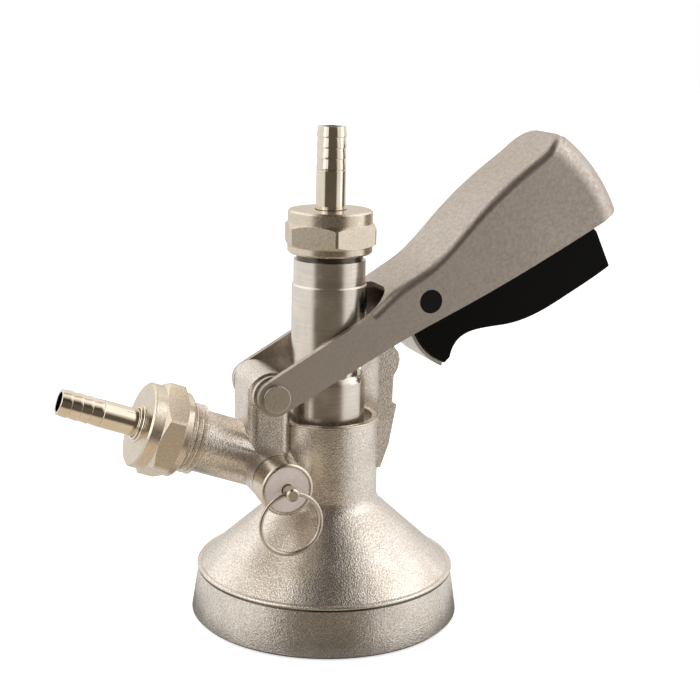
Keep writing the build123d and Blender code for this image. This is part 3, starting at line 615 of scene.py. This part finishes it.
def crowned_handle():
    """The stamped handle, with its end wall bowed outwards, most at half its height."""
    piece = merged_copy("handle", "handle_softened")
    bevel_edges(piece, handle_round)
    lean = radians(handle_lean + end_lean)
    out = Vector((cos(lean), 0, sin(lean)))
    rise = Vector((-sin(lean), 0, cos(lean)))
    places = [vertex.co - handle_place for vertex in piece.data.vertices]
    wall_start = (handle_length - end_depth) * MM
    wall = [place.dot(rise) for place in places if place.dot(out) > wall_start]
    low, high = min(wall), max(wall)
    levels = [low + (high - low) * step / end_strips for step in range(1, end_strips)]
    pick(piece)
    bpy.ops.object.mode_set(mode="EDIT")
    for level in levels:
        bpy.ops.mesh.select_all(action="SELECT")
        bpy.ops.mesh.bisect(plane_co=handle_place + rise * level, plane_no=rise)
    corner_start = (handle_length - end_corner) * MM
    for level in levels:
        share = 2 * (level - low) / (high - low) - 1
        bow = end_crown * MM * (1 - share * share)

        def on_cut(vertex):
            place = vertex.co - handle_place
            beside = abs(place.dot(rise) - level)
            return place.dot(out) > corner_start and beside < strip_slack * MM

        pick_parts(piece, "VERT", on_cut)
        bpy.ops.transform.translate(value=out * bow)
    deselect()
    smooth_faces(piece)
    dress(piece, "handle", "handle")


crowned_handle()


# Studio: camera, floor, surroundings and lamps. Places here are in metres.

white = (1, 1, 1, 1)
camera_place = (-0.15391, -0.42286, 0.1904)
camera_turn = (77.0373, -1.1694, -20.6208)
camera_lens = 74.304
camera_sensor = 36.0
camera_near = 0.01

floor_size = 6.0
floor_height = -0.0002
floor_colour = (0.88, 0.88, 0.88)
# A painted contact shadow: the grey that metal mirrors of the floor near the bell
floor_shade = (0.35, 0.35, 0.35)        # what metal mirrors of the floor near the bell
floor_shade_radius = 56.0               # millimetres
floor_glow = 0.6

# Three ways to look from the object. The spans say how far along one of them a part of
# the room begins and where it is fully there: 0 is square to that way and 1 straight
# along it.
right_way = (0.936, -0.352, 0.0)
front_way = (-0.352, -0.936, 0.0)
up_way = (0, 0, 1)
back_fade = (-0.28, -0.55)              # along the front way, so behind the object
wall_rise = (0.1, 0.6)
dark_rise = (0.3, 0.75)
under_fade = (-0.30, -0.55)

# The dark part's half width, what is added to it straight ahead, and the span past its
# edge over which a side wall begins
dark_half_width = 0.28
dark_front_width = 0.57
side_fade = (-0.05, 0.17)

# Light from each part of the room
front_level = 0.12
top_level = 0.035
wall_level = 0.80
high_level = 1.32
back_level = 0.75
under_level = 0.75
dark_colour = (1.0, 0.85, 0.66, 1)
wall_colour = (1.0, 0.98, 0.955, 1)

lamp_aim = Vector((0, 0, 0.08))


def studio_camera():
    camera = bpy.data.cameras.new("studio_camera")
    camera.lens = camera_lens
    camera.sensor_width = camera_sensor
    camera.clip_start = camera_near
    holder = bpy.data.objects.new("studio_camera", camera)
    bpy.context.collection.objects.link(holder)
    holder.location = camera_place
    holder.rotation_euler = [radians(angle) for angle in camera_turn]
    bpy.context.scene.camera = holder


def pale_floor():
    """White for the camera. Metal mirrors only a grey disc of it under the bell, a
    painted contact shadow.
    """
    bpy.ops.mesh.primitive_plane_add(size=floor_size, location=(0, 0, floor_height))
    floor = bpy.context.object
    floor.name = "pale_floor"
    material, shader, place = bare_material("pale floor", floor_colour)
    shader.inputs["Roughness"].default_value = 0.9
    shader.inputs["Specular IOR Level"].default_value = 0.1
    shader.inputs["Emission Color"].default_value = white
    tree = material.node_tree
    ray = tree.nodes.new("ShaderNodeLightPath").outputs
    glow = math_node(tree, "MULTIPLY", ray["Is Camera Ray"], floor_glow)
    feed(tree, glow, shader.inputs["Emission Strength"])
    reach = vector_node(tree, "LENGTH", place).outputs["Value"]
    # Glossy rays near the bell see the painted contact shadow
    near = math_node(tree, "LESS_THAN", reach, floor_shade_radius * MM)
    shaded = math_node(tree, "MULTIPLY", near, ray["Is Glossy Ray"])
    colour = mix_colour(tree, shaded, (*floor_colour, 1), (*floor_shade, 1))
    feed(tree, colour, shader.inputs["Base Color"])
    far = math_node(tree, "SUBTRACT", 1.0, near)
    unseen = math_node(tree, "MULTIPLY", far, ray["Is Glossy Ray"])
    clear = tree.nodes.new("ShaderNodeBsdfTransparent")
    seen_floor = mix_shader(tree, unseen, shader, clear)
    feed(tree, seen_floor, tree.nodes["Material Output"].inputs["Surface"])
    floor.data.materials.append(material)
    deselect()


def surroundings():
    """A room dark in front and overhead, with white walls at the sides and back."""
    world = bpy.data.worlds.new("studio_surroundings")
    bpy.context.scene.world = world
    world.use_nodes = True
    tree = world.node_tree
    tree.nodes.clear()
    way = tree.nodes.new("ShaderNodeTexCoord").outputs["Generated"]
    side, ahead, up = (
        vector_node(tree, "DOT_PRODUCT", way, axis).outputs["Value"]
        for axis in (right_way, front_way, up_way)
    )

    # Walls start where the dark part ends, which is widest straight ahead
    front_share = math_node(tree, "MAXIMUM", ahead, 0.0)
    front_width = math_node(tree, "MULTIPLY", front_share, dark_front_width)
    edge = math_node(tree, "ADD", dark_half_width, front_width)
    past_edge = math_node(tree, "SUBTRACT", math_node(tree, "ABSOLUTE", side), edge)
    side_wall = remap(tree, past_edge, side_fade, whole_span)
    back_wall = remap(tree, ahead, back_fade, (0.0, back_level))
    walls = math_node(tree, "MAXIMUM", side_wall, back_wall)

    # Walls grow brighter upwards, the dark part darker, and from below all is even
    wall_light = remap(tree, up, wall_rise, (wall_level, high_level))
    dark_light = remap(tree, up, dark_rise, (front_level, top_level))
    wall_light = math_node(tree, "MULTIPLY", walls, wall_light)
    level = math_node(tree, "ADD", dark_light, wall_light)
    under = remap(tree, up, under_fade, whole_span)
    over = math_node(tree, "SUBTRACT", 1.0, under)
    level = math_node(tree, "MULTIPLY", level, over)
    under_light = math_node(tree, "MULTIPLY", under, under_level)
    level = math_node(tree, "ADD", level, under_light)

    room = tree.nodes.new("ShaderNodeBackground")
    feed(tree, mix_colour(tree, walls, dark_colour, wall_colour), room.inputs["Color"])
    feed(tree, level, room.inputs["Strength"])
    backdrop = tree.nodes.new("ShaderNodeBackground")
    feed(tree, white, backdrop.inputs["Color"])
    feed(tree, 1.0, backdrop.inputs["Strength"])
    seen = tree.nodes.new("ShaderNodeLightPath").outputs["Is Camera Ray"]
    output = tree.nodes.new("ShaderNodeOutputWorld")
    feed(tree, mix_shader(tree, seen, room, backdrop), output.inputs["Surface"])


def light_card(name, place, size, power):
    """A rectangular lamp that points at the object."""
    lamp = bpy.data.lights.new(name, "AREA")
    lamp.shape = "RECTANGLE"
    lamp.size, lamp.size_y = size
    lamp.energy = power
    holder = bpy.data.objects.new(name, lamp)
    bpy.context.collection.objects.link(holder)
    holder.location = place
    aim = lamp_aim - Vector(place)
    holder.rotation_euler = aim.to_track_quat("-Z", "Y").to_euler()


studio_camera()
pale_floor()
surroundings()
light_card("left_window", place=(-0.75, -0.35, 0.55), size=(0.7, 0.9), power=2.0)
light_card("right_window", place=(0.75, -0.25, 0.40), size=(0.5, 0.9), power=0.8)
light_card("overhead", place=(0.0, 0.1, 0.95), size=(0.9, 0.7), power=0.05)

bpy.context.scene.view_settings.view_transform = "Standard"
